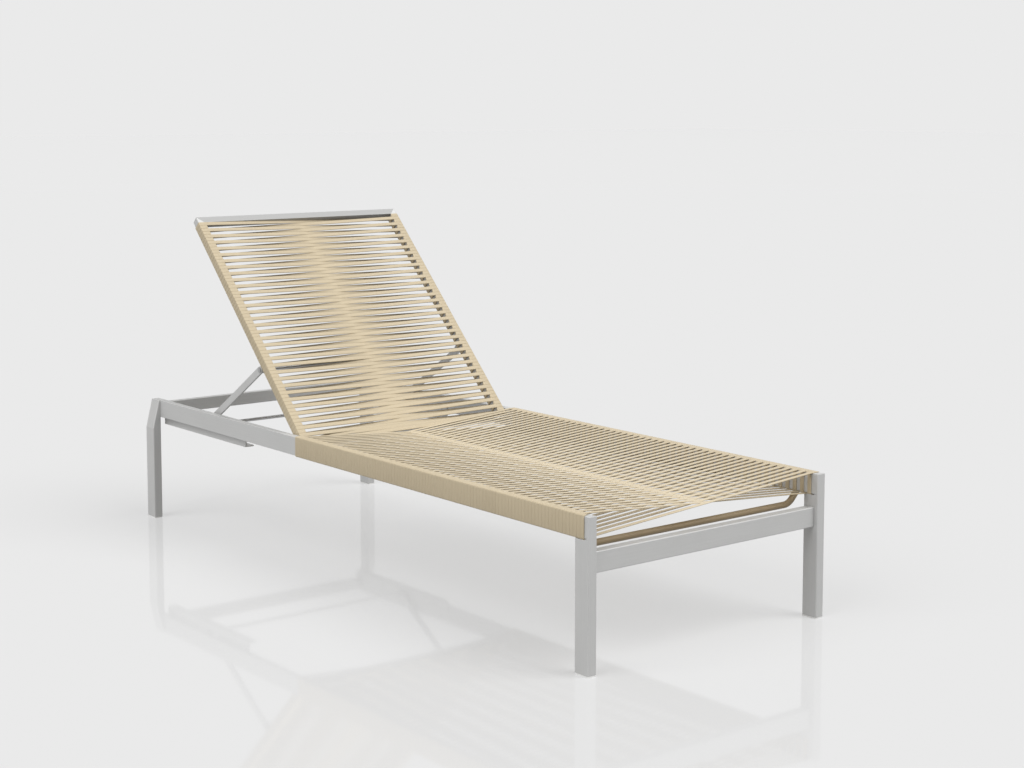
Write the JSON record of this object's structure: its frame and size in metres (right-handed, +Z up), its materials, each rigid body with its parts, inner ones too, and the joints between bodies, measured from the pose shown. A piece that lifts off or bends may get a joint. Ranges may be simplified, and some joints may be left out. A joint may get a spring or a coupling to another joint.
{
  "type": "chaise longue",
  "caption": "Low pool chaise longue: metal frame strung with figure-of-eight rope and a propped folding backrest.",
  "frame": {"origin": "on the ground at the middle of the overall width and length, at rest as pictured", "axes": "+X across to the right seen from the foot end, +Y along from the foot end to the head end, +Z up"},
  "size_m": [0.792, 2, 0.9086],
  "materials": {
    "frame_metal": "satin brushed grey metal",
    "rope": "matt beige woven outdoor rope",
    "bow_paint": "satin tan powder coat",
    "steel": "satin steel",
    "glide": "white moulded plastic",
    "bush": "dark moulded plastic",
    "end_cap": "satin grey metal"
  },
  "bodies": {
    "frame": {"side_rail_left": "frame_metal", "side_rail_right": "frame_metal", "rail_cap_left": "end_cap", "rail_cap_right": "end_cap", "foot_leg_left": "frame_metal", "foot_leg_right": "frame_metal", "head_leg_left": "frame_metal", "head_leg_right": "frame_metal", "glide_foot_left": "glide", "glide_foot_right": "glide", "glide_head_left": "glide", "glide_head_right": "glide", "foot_crossbar": "frame_metal", "head_crossbar": "frame_metal", "spreader_bow": "bow_paint", "rack_left": "frame_metal", "rack_right": "frame_metal", "rack_rivets": "steel", "seat_rope": "rope", "hinge_axle": "steel", "hinge_bush_left": "bush", "hinge_bush_right": "bush"},
    "backrest": {"backrest_rail_left": "frame_metal", "backrest_rail_right": "frame_metal", "backrest_top_bar": "frame_metal", "backrest_lower_tube": "frame_metal", "backrest_rope": "rope", "prop_lug_left": "frame_metal", "prop_lug_right": "frame_metal", "prop_pivot_rod": "steel", "pivot_cap_left": "steel", "pivot_cap_right": "steel"},
    "prop": {"prop_strut_left": "frame_metal", "prop_strut_right": "frame_metal", "prop_rod": "steel"}
  },
  "joints": [
    {"name": "backrest_recline", "type": "hinge", "parent": "frame", "child": "backrest", "pos_m": [0, 0.203, 0.3285], "axis": [1, 0, 0], "range_deg": [-42.8, 8]},
    {"name": "prop_swing", "type": "hinge", "parent": "backrest", "child": "prop", "pos_m": [0, 0.41963, 0.50477], "axis": [1, 0, 0], "range_deg": [-14.1, 74.9]}
  ],
  "couplings": [
    {"joint": "prop_swing", "follows": "backrest_recline", "ratio": -1.7463}
  ]
}
